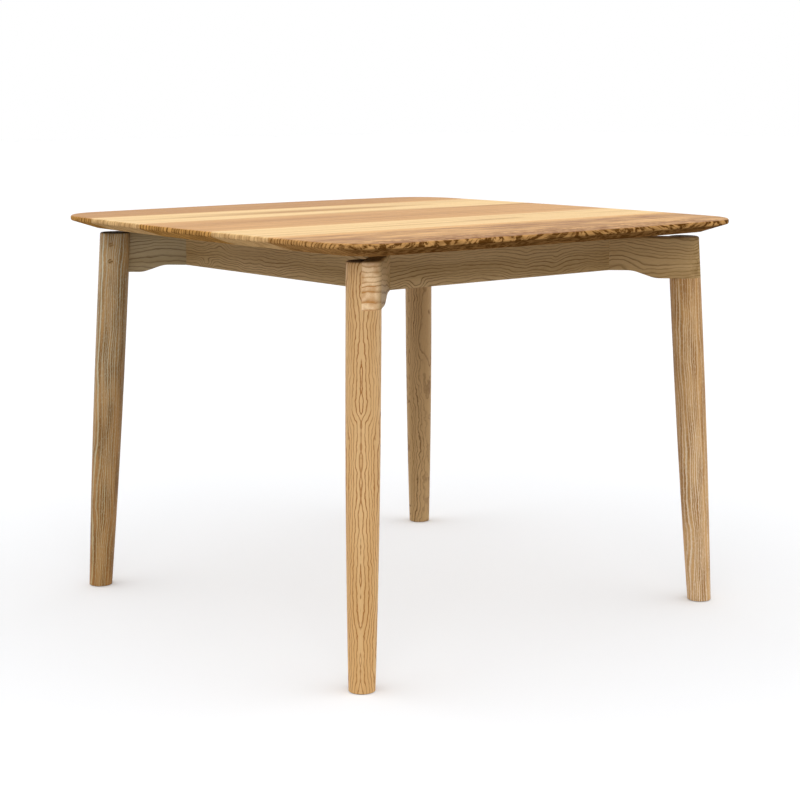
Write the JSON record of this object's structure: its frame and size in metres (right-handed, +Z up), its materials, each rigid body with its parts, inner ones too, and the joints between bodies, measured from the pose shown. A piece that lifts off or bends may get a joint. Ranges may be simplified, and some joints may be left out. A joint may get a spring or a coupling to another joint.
{
  "type": "square dining table",
  "caption": "Square dining table in light ash: a bevelled top with bowed sides on a rail frame, with diagonal arms out to round, tapered legs that lean.",
  "frame": {"origin": "on the floor, under the middle of the top", "axes": "+Z up; +X to the right along the top's staves; +Y to the back"},
  "size_m": [1, 1, 0.76],
  "materials": {
    "ash_top": "satin oil",
    "ash_frame": "matt oil",
    "beech": "unfinished, planed",
    "zinc_plated_steel": "bright zinc",
    "nylon": "moulded, matt"
  },
  "bodies": {
    "root": {"arm_back_left": "ash_frame", "arm_back_right": "ash_frame", "arm_front_left": "ash_frame", "arm_front_right": "ash_frame", "corner_block_back_left": "beech", "corner_block_back_right": "beech", "corner_block_front_left": "beech", "corner_block_front_right": "beech", "corner_block_screws": "zinc_plated_steel", "foot_glide_back_left": "nylon", "foot_glide_back_right": "nylon", "foot_glide_front_left": "nylon", "foot_glide_front_right": "nylon", "frame_dowels": "beech", "leg_back_left": "ash_frame", "leg_back_right": "ash_frame", "leg_front_left": "ash_frame", "leg_front_right": "ash_frame", "leg_plugs": "ash_frame", "leg_screws": "zinc_plated_steel", "rail_back": "ash_frame", "rail_front": "ash_frame", "rail_left": "ash_frame", "rail_right": "ash_frame", "top_button_back_1": "beech", "top_button_back_2": "beech", "top_button_front_1": "beech", "top_button_front_2": "beech", "top_button_left_1": "beech", "top_button_left_2": "beech", "top_button_right_1": "beech", "top_button_right_2": "beech", "top_button_screws": "zinc_plated_steel", "top_stave_1": "ash_top", "top_stave_2": "ash_top", "top_stave_3": "ash_top", "top_stave_4": "ash_top", "top_stave_5": "ash_top"}
  },
  "joints": []
}
